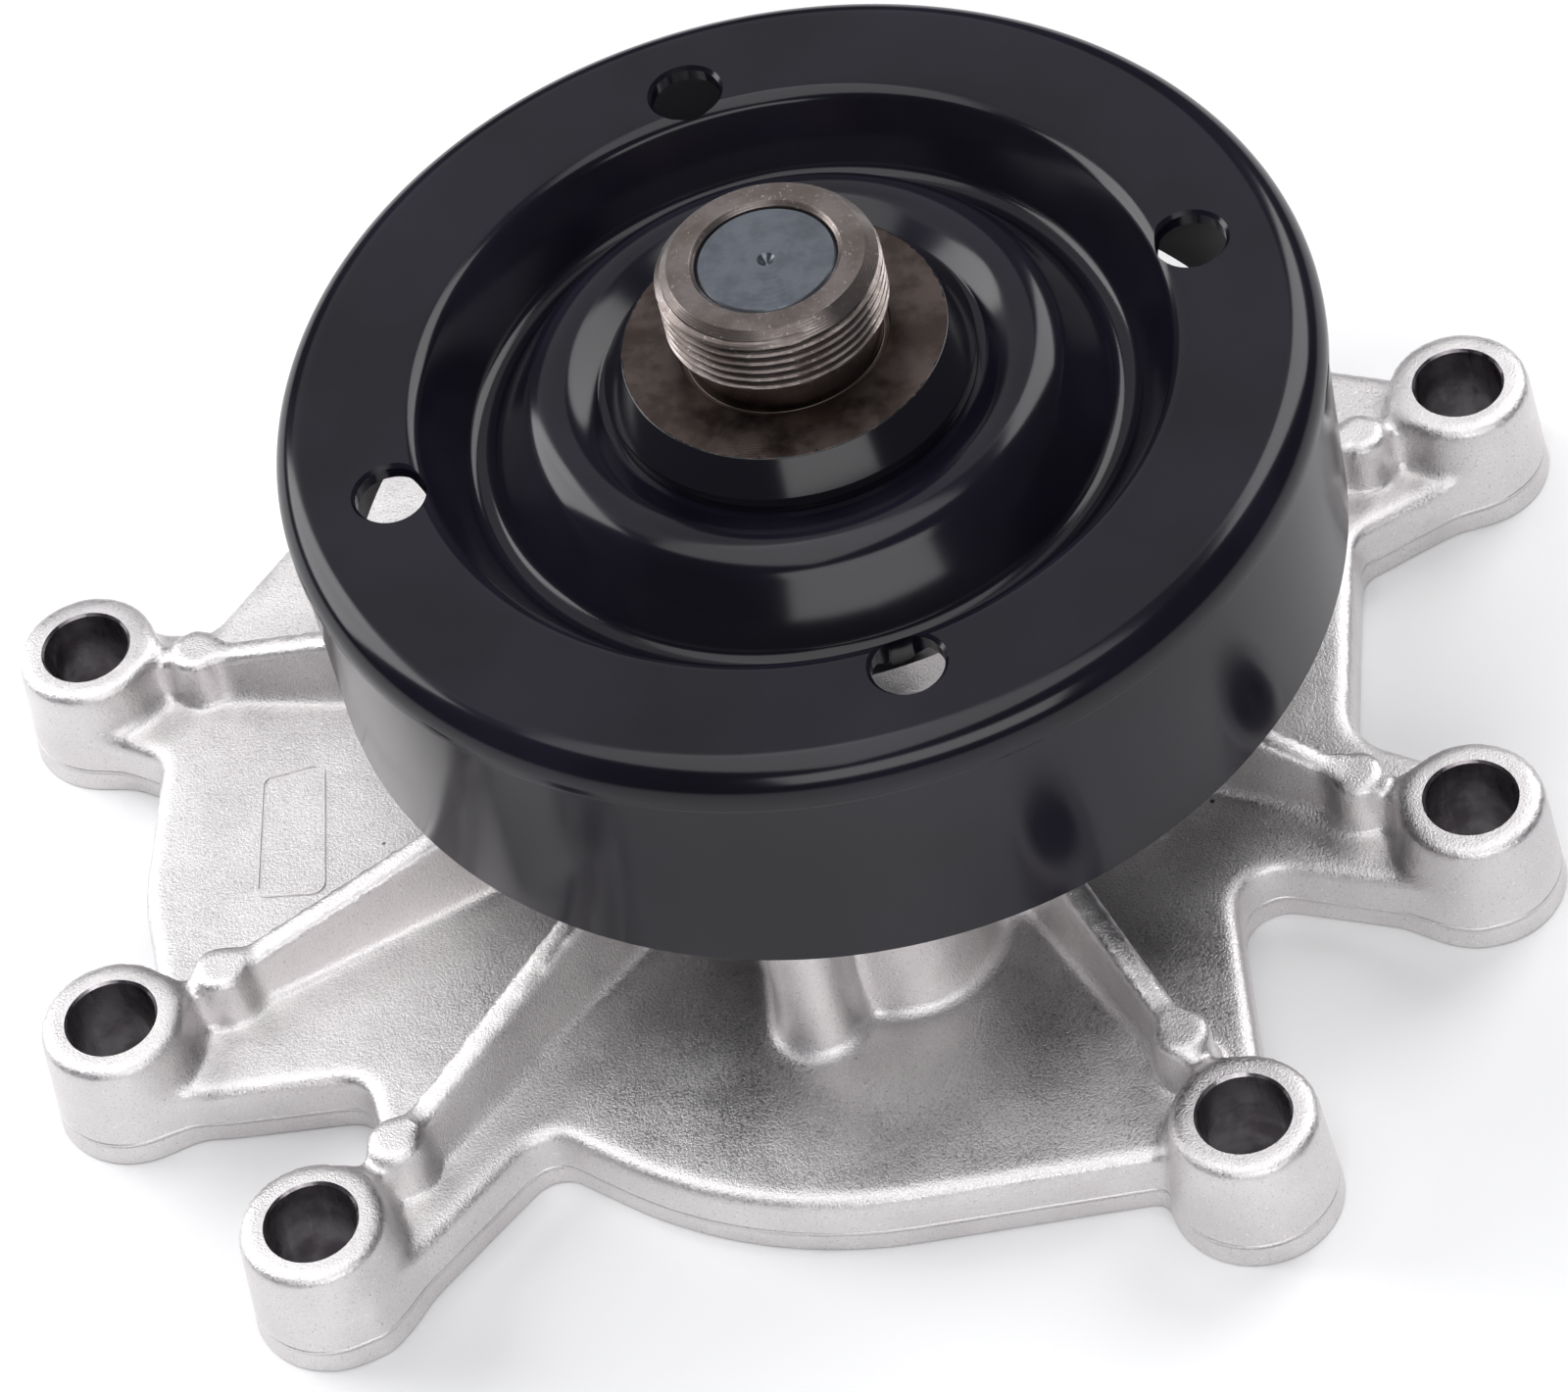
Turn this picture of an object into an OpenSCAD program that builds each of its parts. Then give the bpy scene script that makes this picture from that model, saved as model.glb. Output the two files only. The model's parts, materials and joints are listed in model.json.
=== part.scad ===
// Belt-driven engine coolant pump: a die-cast housing with eight tall bolt bosses, a
// ball and roller shaft bearing, a face seal, an impeller, a threaded fan hub and a
// stamped flat-belt pulley. +Z runs along the shaft from the mounting face (z = 0)
// towards the fan hub. X and Y lie in the mounting face, with the shaft at their origin.
// All sizes are in millimetres.

/* [Mounting plate] */
// Distance in X between the outermost bolt holes
plate_w = 198.8; // [165:0.1:240]
// Distance in Y between the outermost bolt holes
plate_l = 188.5; // [156:0.1:228]
// Thickness of the plate
plate_t = 10; // [8:0.5:12]
// Height of the bolt bosses above the mounting face
boss_h = 18; // [15:0.1:22]
// Diameter of a bolt boss at its top
boss_top_d = 19.8; // [18:0.1:24]
// Extra diameter of a bolt boss at its foot, from the casting draft
boss_draft = 3.2; // [1:0.1:5]
// Diameter of the bolt holes
bolt_hole_d = 12.3; // [9:0.1:14.8]
// Width of the ribs
rib_w = 4.5; // [3:0.1:6]

/* [Bearing and tower] */
// Diameter of the shaft in the bearing and the fan hub
shaft_d = 18.96; // [15.8:0.02:22.76]
// Length of the bearing's outer ring
bearing_len = 42; // [35:0.5:51]
// Wall of the bearing's outer ring outside its roller track
ring_wall = 4.53; // [3.5:0.01:6]
// Diameter of the bearing balls
ball_d = 6.35; // [5.6:0.05:6.7]
// Diameter of the bearing rollers
roller_d = 5; // [4.4:0.1:6]
// Length of the bearing rollers
roller_len = 12; // [8:0.5:15]
// Wall of the tower round the bearing, at its top
tower_wall = 5.5; // [4:0.1:7]

/* [Impeller and cavity] */
// Diameter of the impeller
impeller_d = 66; // [55:0.5:80]
// Height of the impeller's vanes
vane_h = 8.3; // [6.9:0.1:10]
// Number of vanes
vane_count = 7; // [5:1:9]
// Width of the discharge passage
passage_w = 17; // [14:0.5:21]
// Height of the discharge passage above the mounting face
passage_h = 20; // [16:0.5:25]

/* [Shaft seal] */
// Diameter of the shaft in the seal and the impeller
nose_d = 15.9; // [13.2:0.1:19.1]
// Free height of the seal case above the cavity ceiling
seal_case_h = 13.8; // [13.8:0.1:17]

/* [Fan hub] */
// Major diameter of the fan thread
thread_d = 30; // [27:0.5:36]
// Length of the fan thread, without its end chamfer
thread_len = 9.5; // [8:0.1:14]
// Diameter of the hub's flange
flange_d = 49.7; // [46:0.1:60]
// Thickness of the hub's flange
flange_t = 6.9; // [5.5:0.1:8.5]

/* [Pulley] */
// Diameter of the belt face
pulley_d = 140; // [134:0.5:180]
// Thickness of the pulley's sheet
sheet_t = 2.2; // [1.6:0.1:2.8]
// Depth of the wave between the hub and the holes
wave_depth = 11.6; // [9:0.1:13]
// Height of the pulley from its open rim to the top of its web
pulley_h = 36.3; // [30:0.1:38]
// Diameter of the holes in the pulley
pulley_hole_d = 9.6; // [7:0.1:11]

/* [Hidden] */
$fn = 96;
// Overlap that joins two solids of one piece
eps = 0.01;

// Plate outline and bosses: nominal places, stretched by the two plate sizes
kx = plate_w / 198.8;
ky = plate_l / 188.5;
// Each boss is [x, y, direction of its ejector pad in degrees]
bosses = [
    [-110.4, 25.6, -13],
    [-107.3, -42.2, 21],
    [-80.6, -81.7, 45],
    [42.7, -88.4, 113],
    [79.2, -42.7, 152],
    [88.4, 31.8, 202],
    [34.5, 100.1, 250],
    [-44.6, 93.9, 296]
];
// Each corner of the plate is [x, y, corner radius]
plate_corners = [
    [46, -85, 0],
    [46, -40, 6],
    [77.5, -52.5, 0],
    [85, -34.5, 0],
    [65, -22, 8],
    [70.5, 13.5, 4],
    [92, 23, 0],
    [85, 40.5, 0],
    [56, 53, 8],
    [43.5, 97, 0],
    [32.5, 108.5, 0],
    [18, 77.5, 8],
    [-26, 73.5, 8],
    [-36.5, 100, 0],
    [-53, 94, 0],
    [-65, 67, 8],
    [-94, 32, 4],
    [-108.5, 35.5, 0],
    [-112.5, 16.5, 0],
    [-101.5, 9.5, 3],
    [-104.5, -15, 30],
    [-102.5, -32.5, 0],
    [-102, -51, 0],
    [-94, -52, 2],
    [-74, -53, 5],
    [-71.5, -70.5, 2],
    [-83.5, -72.5, 0],
    [-74.5, -90.5, 0],
    [-50, -66.5, 5],
    [-24, -87.5, 62],
    [35.5, -87.5, 0]
];
boss_top_r = boss_top_d / 2;
boss_foot_r = boss_top_r + boss_draft / 2;
bolt_hole_r = bolt_hole_d / 2;
pad_r = 3.8;
pad_reach = 16.3;
pad_draft = 0.9;
neck_w = 4.6;
neck_drop = 1.6;
top_edge_r = 1;
hole_bevel = 0.8;

// Impeller, cavity and the dome over it
impeller_r = impeller_d / 2;
vane_z = 1.5;
vane_t = 1.6;
disc_t = 2;
disc_z = vane_z + vane_h;
cavity_h = disc_z + disc_t + 2.4;
cavity_r = impeller_r + 3;
dome_wall = 4.8;
dome_top = cavity_h + dome_wall;
dome_foot_r = cavity_r + 10;
dome_top_r = cavity_r + 4.5;
passage_x = 1;
passage_end = 44 * ky;
nose_wall = 3.8;
nose_top = max(dome_top + 15, passage_h + nose_wall);
lobe_r = 5;
lobe_x = passage_x - 12.2;
lobe_end = passage_end + 12;
seal_groove_in = 3.5;
seal_groove_w = 3;
seal_groove_h = 2.6;

// Shaft bearing
shaft_r = shaft_d / 2;
roller_r = roller_d / 2;
ball_r = ball_d / 2;
run_gap = 0.03;
ring_bevel = 0.6;
pitch_r = shaft_r + roller_r + run_gap;
ring_bore_r = pitch_r + roller_r + run_gap;
ring_r = ring_bore_r + ring_wall;
seal_chamber_h = 2;
bearing_z = cavity_h + seal_case_h + seal_chamber_h;
bearing_top = bearing_z + bearing_len;
lip_seal_t = 1.4;
lip_seal_inset = 0.6;
lip_seal_step = 0.7;
roller_z = bearing_z + lip_seal_inset + lip_seal_t + 2 + roller_len / 2;
ball_z = bearing_top - lip_seal_inset - lip_seal_t - 1.8 - ball_r;
groove_gap = 0.07;
cage_gap = 0.13;
cage_in = pitch_r - 1.2;
cage_out = pitch_r + 1.2;
ball_count = floor(2 * PI * pitch_r / (ball_d * 1.3));
roller_count = floor(2 * PI * pitch_r / (roller_d * 1.22));
tower_top = bearing_top - 2;
tower_top_r = ring_r + tower_wall;
tower_foot_r = tower_top_r + 4;
rib_root_z = boss_h + 9;
rib_root_r = dome_foot_r - 2;
weep_margin = 0.25;
weep_r = seal_chamber_h / 2 - weep_margin;
weep_angle = -46;

// Face seal, built outwards from the shaft's nose
nose_r = nose_d / 2;
case_r = nose_r + 10.25;
case_t = 0.8;
case_top = cavity_h + seal_case_h;
case_hole_r = nose_r + 2.7;
chamber_r = case_r - 1.7;
rib_start_r = chamber_r + 8;
// Where the inner solids of the casting start, above the mounting face
inner_z = 0.5;
boot_z = disc_z + disc_t + 0.2;
boot_t = 1.5;
seat_z = boot_z + boot_t;
seat_t = 3.5;
seat_in = nose_r + 0.65;
seat_out = nose_r + 4.65;
face_z = seat_z + seat_t;
carbon_nose_h = 1.6;
carbon_h = 4.5;
carbon_in = nose_r + 1.1;
carbon_out = nose_r + 5.45;
band_t = 0.6;
band_z = face_z + carbon_nose_h + 0.4;
bellows_z = face_z + carbon_h + 0.05;
bellows_top = case_top - case_t;
bellows_rim_t = 0.9;
spring_r = carbon_out + band_t + 1.3;
spring_wire = 1.1;
spring_turns = 3;
spring_z = band_z + band_t + spring_wire / 2 + 0.02;
slinger_t = 1;
slinger_gap = 1.42;
slinger_r = chamber_r - slinger_gap;

// Fan hub and shaft end
hub_z = bearing_top + 3.6;
flange_r = flange_d / 2;
flange_bevel_r = 3.1;
flange_bevel_h = 4.5;
flange_top = hub_z + flange_t;
thread_r = thread_d / 2;
neck_r = thread_r - 1.8;
neck_h = 4.9;
relief_r = neck_r + 0.85;
relief_depth = 0.5;
thread_z = flange_top + neck_h;
chamfer_h = 1.9;
hub_top = thread_z + thread_len + chamfer_h;
spigot_r = flange_r - 4.8;
shaft_sink = 0.6;
bore_bevel = 0.6;
nose_bevel = 0.7;
end_bevel = 0.5;
dimple_r = 1.2;

// Pulley, following the hub's flange and the height of the bosses
pulley_r = pulley_d / 2;
web_z = hub_z + 1;
rim_z = web_z - pulley_h;
bead_h = 4.1;
bead_step = 0.5;
crest_r = flange_r + 8.55;
valley_r = flange_r + 18.75;
lip_r = flange_r + 26.25;
hole_circle_r = lip_r + 4.4;

// Points of the arc that rounds the corner b between the points a and c
function corner_arc(a, b, c, r, n) =
    let(
        u = (a - b) / norm(a - b),
        v = (c - b) / norm(c - b),
        half = acos(u * v) / 2,
        middle = (u + v) / norm(u + v),
        centre = b + middle * r / sin(half),
        from = b + u * r / tan(half) - centre,
        to = b + v * r / tan(half) - centre,
        start = atan2(from[1], from[0]),
        raw = atan2(to[1], to[0]) - start,
        sweep = raw > 180 ? raw - 360 : raw < -180 ? raw + 360 : raw
    )
    [for (i = [0:n]) centre + r * [cos(start + sweep * i / n), sin(start + sweep * i / n)]];

// A closed outline through corners given as [x, y, radius]
function rounded(corners, n = 8) = [
    for (i = [0:len(corners) - 1])
        let(
            m = len(corners),
            a = corners[(i + m - 1) % m],
            b = corners[i],
            c = corners[(i + 1) % m]
        )
        each b[2] == 0 ? [[b[0], b[1]]]
            : corner_arc([a[0], a[1]], [b[0], b[1]], [c[0], c[1]], b[2], n)
];

// The same for an open path, whose two ends stay sharp
function rounded_path(corners, n = 8) = [
    for (i = [0:len(corners) - 1])
        let(b = corners[i])
        each i == 0 || i == len(corners) - 1 || b[2] == 0 ? [[b[0], b[1]]]
            : corner_arc(
                [corners[i - 1][0], corners[i - 1][1]], [b[0], b[1]],
                [corners[i + 1][0], corners[i + 1][1]], b[2], n
            )
];

// A path moved sideways by d, to the right of its direction
function beside(path, d) = [
    for (i = [0:len(path) - 1])
        let(
            a = path[max(i - 1, 0)],
            c = path[min(i + 1, len(path) - 1)],
            t = (c - a) / norm(c - a)
        )
        path[i] + d * [t[1], -t[0]]
];

// A ring with a rectangular section
module ring(r_in, r_out, z0, z1) {
    translate([0, 0, z0])
        difference() {
            cylinder(h = z1 - z0, r = r_out);
            translate([0, 0, -1]) cylinder(h = z1 - z0 + 2, r = r_in);
        }
}

// A solid of revolution from [radius, height] points
module turned(points) {
    rotate_extrude() polygon(points);
}

function boss_xy(b) = [b[0] * kx, b[1] * ky];
function pad_xy(b) = boss_xy(b) + pad_reach * [cos(b[2]), sin(b[2])];

// A flat finger that leaves the shaft towards -Y and has a round end
module finger(x, reach, r) {
    translate([x, -reach]) circle(r = r);
    translate([x - r, -reach]) square([2 * r, reach]);
}

// The impeller cavity's outline with its discharge passage, grown by a margin
module cavity_outline(margin) {
    circle(r = cavity_r + margin);
    finger(passage_x, passage_end, passage_w / 2 + margin);
}

// One bolt boss with its rounded top edge
module boss(b) {
    rim = boss_h - top_edge_r;
    translate(boss_xy(b))
        turned(concat(
            [[0, 0], [boss_foot_r, 0]],
            [for (a = [0:15:90])
                [boss_top_r - top_edge_r * (1 - cos(a)), rim + top_edge_r * sin(a)]],
            [[0, boss_h]]
        ));
}

// The ejector pad beside a boss and the neck that joins them
module pad(b) {
    translate(pad_xy(b))
        cylinder(h = boss_h, r1 = pad_r + pad_draft, r2 = pad_r);
    translate(boss_xy(b))
        rotate(b[2])
            translate([0, -neck_w / 2, 0])
                cube([pad_reach, neck_w, boss_h - neck_drop]);
}

// The rib that climbs from a pad to the tower
module rib(b) {
    p = pad_xy(b);
    reach = norm(p);
    rotate(atan2(p[1], p[0]))
        translate([0, rib_w / 2, 0])
            rotate([90, 0, 0])
                linear_extrude(rib_w)
                    polygon([
                        [rib_start_r, inner_z],
                        [reach, inner_z],
                        [reach, boss_h - 0.4],
                        [rib_root_r, rib_root_z],
                        [rib_start_r, rib_root_z]
                    ]);
}

// The solid body of the casting, before its bores
module casting() {
    linear_extrude(plate_t)
        scale([kx, ky]) polygon(rounded(plate_corners));
    for (b = bosses) {
        boss(b);
        pad(b);
        rib(b);
    }
    turned([
        [0, inner_z],
        [dome_foot_r, inner_z],
        [dome_foot_r, plate_t],
        [dome_top_r, dome_top],
        [tower_foot_r + 2, dome_top],
        [tower_foot_r, dome_top + 2],
        [tower_top_r, tower_top - 1],
        [tower_top_r - 1, tower_top],
        [0, tower_top]
    ]);
    translate([0, 0, inner_z])
        linear_extrude(nose_top - inner_z) {
            finger(passage_x, passage_end, passage_w / 2 + nose_wall);
            finger(lobe_x, lobe_end, lobe_r);
        }
}

module housing() {
    color("silver")
    difference() {
        casting();
        for (b = bosses)
            translate(boss_xy(b)) {
                translate([0, 0, -1]) cylinder(h = boss_h + 2, r = bolt_hole_r);
                translate([0, 0, boss_h - hole_bevel])
                    cylinder(h = hole_bevel + eps, r1 = bolt_hole_r,
                        r2 = bolt_hole_r + hole_bevel);
            }
        translate([0, 0, -1]) cylinder(h = cavity_h + 1, r = cavity_r);
        translate([0, 0, -1])
            linear_extrude(passage_h + 1) finger(passage_x, passage_end, passage_w / 2);
        translate([0, 0, -1])
            linear_extrude(seal_groove_h + 1)
                difference() {
                    cavity_outline(seal_groove_in + seal_groove_w);
                    cavity_outline(seal_groove_in);
                }
        cylinder(h = case_top, r = case_r);
        translate([0, 0, case_top - 1]) cylinder(h = seal_chamber_h + 2, r = chamber_r);
        translate([0, 0, bearing_z]) cylinder(h = bearing_len + 5, r = ring_r);
        translate([0, 0, case_top + seal_chamber_h / 2])
            rotate([0, 90, weep_angle])
                cylinder(h = tower_foot_r + 8, r = weep_r);
    }
}

module mounting_seal() {
    gap = 0.15;
    color("dimgray")
    translate([0, 0, 0.1])
        linear_extrude(seal_groove_h - 0.1)
            difference() {
                cavity_outline(seal_groove_in + seal_groove_w - gap);
                cavity_outline(seal_groove_in + gap);
            }
}

module bearing_outer_ring() {
    step_r = ring_bore_r + lip_seal_step;
    step_h = lip_seal_inset + lip_seal_t;
    color("lightsteelblue")
    difference() {
        turned([
            [ring_bore_r, bearing_z],
            [ring_r - ring_bevel, bearing_z],
            [ring_r, bearing_z + ring_bevel],
            [ring_r, bearing_top - ring_bevel],
            [ring_r - ring_bevel, bearing_top],
            [ring_bore_r, bearing_top]
        ]);
        translate([0, 0, bearing_z - 1]) cylinder(h = step_h + 1, r = step_r);
        translate([0, 0, bearing_top - step_h]) cylinder(h = step_h + 1, r = step_r);
        translate([0, 0, ball_z])
            rotate_extrude() translate([pitch_r, 0]) circle(r = ball_r + groove_gap);
    }
}

// A lip seal pressed into the step at one end of the bearing
module lip_seal(z0) {
    step_r = ring_bore_r + lip_seal_step;
    turned([
        [shaft_r + run_gap, z0 + 0.4],
        [shaft_r + 1.2, z0],
        [step_r, z0],
        [step_r, z0 + lip_seal_t],
        [shaft_r + 1.2, z0 + lip_seal_t],
        [shaft_r + run_gap, z0 + lip_seal_t - 0.4]
    ]);
}

module bearing_seal_front() {
    color("black") lip_seal(bearing_top - lip_seal_inset - lip_seal_t);
}

module bearing_seal_rear() {
    color("black") lip_seal(bearing_z + lip_seal_inset);
}

// Copies its children evenly round the bearing
module around(count) {
    for (i = [0:count - 1]) rotate(i * 360 / count) children();
}

module bearing_balls() {
    color("gainsboro")
    around(ball_count) translate([pitch_r, 0, ball_z]) sphere(r = ball_r);
}

module ball_cage() {
    color("darkolivegreen")
    difference() {
        ring(cage_in, cage_out, ball_z - ball_r, ball_z + ball_r / 3);
        around(ball_count) translate([pitch_r, 0, ball_z]) sphere(r = ball_r + cage_gap);
    }
}

module bearing_rollers() {
    color("gainsboro")
    around(roller_count)
        translate([pitch_r, 0, roller_z - roller_len / 2]) cylinder(h = roller_len, r = roller_r);
}

module roller_cage() {
    pocket = roller_len + 2 * cage_gap;
    color("darkolivegreen")
    difference() {
        ring(cage_in, cage_out, roller_z - roller_len / 2 - 1.3,
            roller_z + roller_len / 2 + 1.3);
        around(roller_count)
            translate([pitch_r, 0, roller_z - pocket / 2])
                cylinder(h = pocket, r = roller_r + cage_gap);
    }
}

module pump_shaft() {
    step_z = case_top + 0.2;
    shaft_end = hub_top - shaft_sink;
    color("slategray")
    difference() {
        turned([
            [0, vane_z + nose_bevel],
            [nose_r - nose_bevel, vane_z + nose_bevel],
            [nose_r, vane_z + 2 * nose_bevel],
            [nose_r, step_z],
            [shaft_r, step_z],
            [shaft_r, shaft_end - end_bevel],
            [shaft_r - end_bevel, shaft_end],
            [0, shaft_end]
        ]);
        translate([0, 0, ball_z])
            rotate_extrude() translate([pitch_r, 0]) circle(r = ball_r + groove_gap);
        translate([0, 0, shaft_end - dimple_r]) cylinder(h = dimple_r + eps, r1 = 0, r2 = dimple_r);
    }
}

module slinger() {
    z0 = case_top + 0.5;
    color("dimgray")
    turned([
        [shaft_r, z0],
        [slinger_r, z0],
        [slinger_r, z0 + slinger_t / 2],
        [shaft_r + 2, z0 + slinger_t],
        [shaft_r, z0 + slinger_t]
    ]);
}

module fan_hub() {
    bevel_z = flange_top - flange_bevel_h;
    color("dimgray")
    turned([
        [shaft_r, hub_z - sheet_t + 0.2],
        [spigot_r, hub_z - sheet_t + 0.2],
        [spigot_r, hub_z],
        [flange_r, hub_z],
        [flange_r, bevel_z],
        [flange_r - flange_bevel_r, flange_top],
        [relief_r, flange_top],
        [relief_r, flange_top - relief_depth],
        [neck_r, flange_top - relief_depth],
        [neck_r, thread_z],
        [thread_r, thread_z],
        [thread_r, thread_z + thread_len],
        [thread_r - chamfer_h, hub_top],
        [shaft_r + bore_bevel, hub_top],
        [shaft_r, hub_top - bore_bevel]
    ]);
}

// The pulley's outer surface, from the hub's spigot over the wave to the rim
pulley_path = rounded_path([
    [spigot_r, hub_z, 0],
    [flange_r + 1.1, hub_z, 1.5],
    [crest_r, hub_z + 4, 6],
    [valley_r, web_z - wave_depth, 2.5],
    [lip_r, web_z, 3],
    [pulley_r + bead_step, web_z, 5],
    [pulley_r + bead_step, web_z - bead_h - 2, 0],
    [pulley_r, web_z - bead_h - 2.5, 0],
    [pulley_r, rim_z, 0]
]);

module pulley() {
    inner = beside(pulley_path, sheet_t);
    color("black")
    difference() {
        turned([
            for (p = pulley_path) p,
            for (i = [len(inner) - 1:-1:0])
                [min(inner[i][0], pulley_r - sheet_t), max(inner[i][1], rim_z)]
        ]);
        for (a = [11:90:281])
            rotate(a)
                translate([hole_circle_r, 0, web_z - 2 * sheet_t])
                    cylinder(h = 3 * sheet_t, r = pulley_hole_d / 2);
    }
}

// Centre line of one vane, a spiral that sweeps back from the hub to the rim
function vane_point(s) =
    let(r = nose_r + 3.5 + s * (impeller_r - nose_r - 4.5), a = -62 * s)
    r * [cos(a), sin(a)];

module impeller() {
    steps = 10;
    line = [for (i = [0:steps]) vane_point(i / steps)];
    right = beside(line, vane_t / 2);
    left = beside(line, -vane_t / 2);
    color("gray")
    difference() {
        union() {
            translate([0, 0, disc_z]) cylinder(h = disc_t, r = impeller_r);
            for (i = [0:vane_count - 1])
                rotate(i * 360 / vane_count)
                    translate([0, 0, vane_z])
                        linear_extrude(vane_h + disc_t / 2)
                            polygon(concat(right, [for (j = [steps:-1:0]) left[j]]));
        }
        translate([0, 0, -1]) cylinder(h = disc_z + 5, r = nose_r + 3);
    }
}

module impeller_hub() {
    color("darkgray")
    turned([
        [nose_r, vane_z],
        [nose_r + 2.2, vane_z],
        [nose_r + 3, vane_z + 0.8],
        [nose_r + 3, boot_z],
        [nose_r, boot_z]
    ]);
}

module seal_case() {
    flange = case_r + 2.4;
    color("goldenrod")
    turned([
        [case_hole_r, case_top - case_t],
        [case_r - case_t, case_top - case_t],
        [case_r - case_t, cavity_h - case_t],
        [flange, cavity_h - case_t],
        [flange, cavity_h],
        [case_r, cavity_h],
        [case_r, case_top],
        [case_hole_r, case_top]
    ]);
}

module seal_bellows() {
    r0 = carbon_in + 1;
    r1 = carbon_out - 0.3;
    z0 = bellows_z;
    z1 = bellows_top;
    mid = (z0 + z1) / 2;
    wall = 0.9;
    fold_h = 0.6;
    rim_r = case_r - case_t - 0.3;
    color("black")
    turned([
        [r0, z0],
        [r1, z0],
        [r1, mid - fold_h],
        [r0 + wall + 0.4, mid],
        [r1, mid + fold_h],
        [r1, z1 - bellows_rim_t],
        [rim_r, z1 - bellows_rim_t],
        [rim_r, z1],
        [r0, z1],
        [r0, z1 - wall],
        [r1 - wall, mid + fold_h],
        [r0, mid],
        [r1 - wall, mid - fold_h],
        [r0, z0 + wall]
    ]);
}

// A round wire swept along the spring's helix, with flat-lying ends
module seal_spring() {
    sides = 8;
    per_turn = 20;
    z1 = bellows_top - bellows_rim_t - spring_wire / 2 - 0.02;
    rings = spring_turns * per_turn;
    wire = spring_wire / 2;
    points = [
        for (i = [0:rings])
            let(a = i * 360 / per_turn, z = spring_z + (z1 - spring_z) * i / rings)
            for (j = [0:sides - 1])
                let(t = j * 360 / sides, r = spring_r + wire * cos(t))
                [r * cos(a), r * sin(a), z + wire * sin(t)]
    ];
    faces = concat(
        [[for (j = [sides - 1:-1:0]) j]],
        [[for (j = [0:sides - 1]) rings * sides + j]],
        [for (i = [0:rings - 1], j = [0:sides - 1])
            let(k = (j + 1) % sides)
            [i * sides + j, i * sides + k, (i + 1) * sides + k, (i + 1) * sides + j]]
    );
    color("lightsteelblue")
    polyhedron(points = points, faces = faces);
}

// A band with a flange at its foot, on which the spring sits
module seal_drive_band() {
    band_r = carbon_out + band_t;
    flange = spring_r + spring_wire / 2 + 0.2;
    color("lightsteelblue")
    turned([
        [carbon_out, band_z],
        [flange, band_z],
        [flange, band_z + band_t],
        [band_r, band_z + band_t],
        [band_r, face_z + carbon_h],
        [carbon_out, face_z + carbon_h]
    ]);
}

module seal_carbon_ring() {
    color("dimgray")
    turned([
        [carbon_in, face_z],
        [carbon_out - 1.6, face_z],
        [carbon_out - 1.6, face_z + carbon_nose_h],
        [carbon_out, face_z + carbon_nose_h],
        [carbon_out, face_z + carbon_h],
        [carbon_in, face_z + carbon_h]
    ]);
}

module seal_mating_ring() {
    color("ivory")
    ring(seat_in, seat_out, seat_z, face_z);
}

module seal_seat_boot() {
    color("black")
    turned([
        [nose_r, boot_z],
        [seat_out + 1.3, boot_z],
        [seat_out + 1.3, face_z - 0.8],
        [seat_out, face_z - 0.8],
        [seat_out, seat_z],
        [nose_r, seat_z]
    ]);
}

housing();
mounting_seal();
bearing_outer_ring();
bearing_seal_front();
bearing_seal_rear();
bearing_balls();
ball_cage();
bearing_rollers();
roller_cage();
pump_shaft();
slinger();
fan_hub();
pulley();
impeller();
impeller_hub();
seal_case();
seal_bellows();
seal_spring();
seal_drive_band();
seal_carbon_ring();
seal_mating_ring();
seal_seat_boot();
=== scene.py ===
"""Looks of a belt-driven engine coolant pump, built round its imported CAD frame.

Lengths are in metres, except in the shapes of the casting, pulley and hub, which are
worked out in millimetres (MM turns them into metres). The overall sizes and the places of
the bolt holes come from the frame: its mounts and the boxes of its nodes. The casting's
other sizes repeat the CAD's, or round it off.
"""

import json
from math import acos, atan2, cos, pi, radians, sin, tan

import bmesh
import bpy
import numpy as np
from mathutils import Matrix, Vector


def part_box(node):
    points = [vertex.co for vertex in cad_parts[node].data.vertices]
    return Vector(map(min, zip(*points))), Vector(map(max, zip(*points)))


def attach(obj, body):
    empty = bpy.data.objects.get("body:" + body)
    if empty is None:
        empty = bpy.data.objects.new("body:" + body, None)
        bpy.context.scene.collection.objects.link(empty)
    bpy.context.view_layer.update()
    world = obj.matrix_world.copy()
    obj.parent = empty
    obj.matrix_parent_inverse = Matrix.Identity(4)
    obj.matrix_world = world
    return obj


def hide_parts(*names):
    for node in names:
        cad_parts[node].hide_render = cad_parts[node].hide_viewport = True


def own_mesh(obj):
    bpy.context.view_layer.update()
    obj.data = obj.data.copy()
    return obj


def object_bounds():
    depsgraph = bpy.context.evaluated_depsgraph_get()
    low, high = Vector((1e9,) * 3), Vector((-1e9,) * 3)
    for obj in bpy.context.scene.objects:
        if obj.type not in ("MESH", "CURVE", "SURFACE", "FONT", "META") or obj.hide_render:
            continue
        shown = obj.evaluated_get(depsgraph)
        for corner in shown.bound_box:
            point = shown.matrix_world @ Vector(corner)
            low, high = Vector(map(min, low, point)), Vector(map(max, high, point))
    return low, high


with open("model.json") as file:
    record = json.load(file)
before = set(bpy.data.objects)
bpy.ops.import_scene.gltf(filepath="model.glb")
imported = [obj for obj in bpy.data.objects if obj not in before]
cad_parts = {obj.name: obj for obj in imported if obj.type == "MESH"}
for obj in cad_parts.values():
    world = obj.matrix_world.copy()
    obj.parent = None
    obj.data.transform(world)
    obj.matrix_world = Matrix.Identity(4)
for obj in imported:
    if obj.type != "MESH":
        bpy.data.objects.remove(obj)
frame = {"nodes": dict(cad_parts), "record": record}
CAD_LOW, CAD_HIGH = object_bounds()
MM = 0.001
RECORD = frame["record"]
MOUNTS = {m["name"]: m for m in RECORD["mounts"]}


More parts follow.
